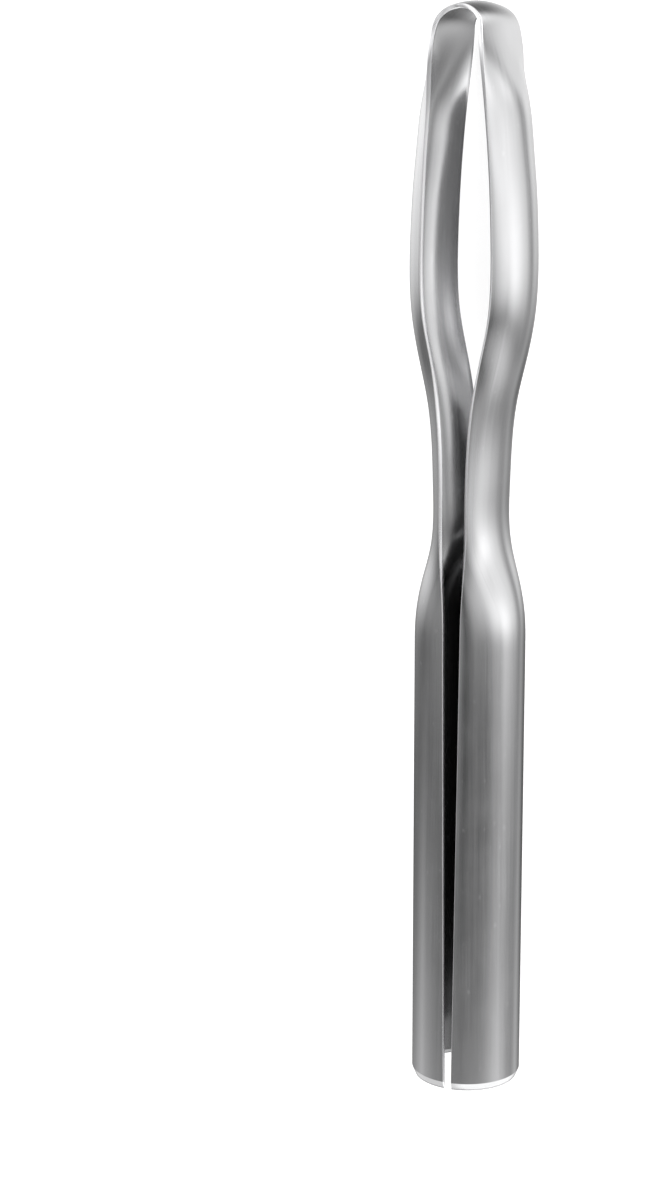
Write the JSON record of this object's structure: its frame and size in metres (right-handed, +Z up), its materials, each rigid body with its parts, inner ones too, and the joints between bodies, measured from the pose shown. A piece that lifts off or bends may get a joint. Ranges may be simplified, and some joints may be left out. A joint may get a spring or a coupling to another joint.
{
  "type": "apple corer",
  "caption": "Apple corer bent from one strip of sheet steel: bowed legs meet in a narrow loop as the handle and flare into half tubes that form the round coring blade.",
  "frame": {"origin": "On the surface that the corer lies on, below the middle of its bounding box.", "axes": "+Y along the corer, from the cutting end towards the closed loop of the handle; +X across the two legs; +Z up from the surface, across the width of the strip."},
  "size_m": [0.0248, 0.215, 0.023],
  "materials": {
    "stainless_steel": "satin"
  },
  "bodies": {
    "root": {"corer_strip": "stainless_steel"}
  },
  "joints": []
}
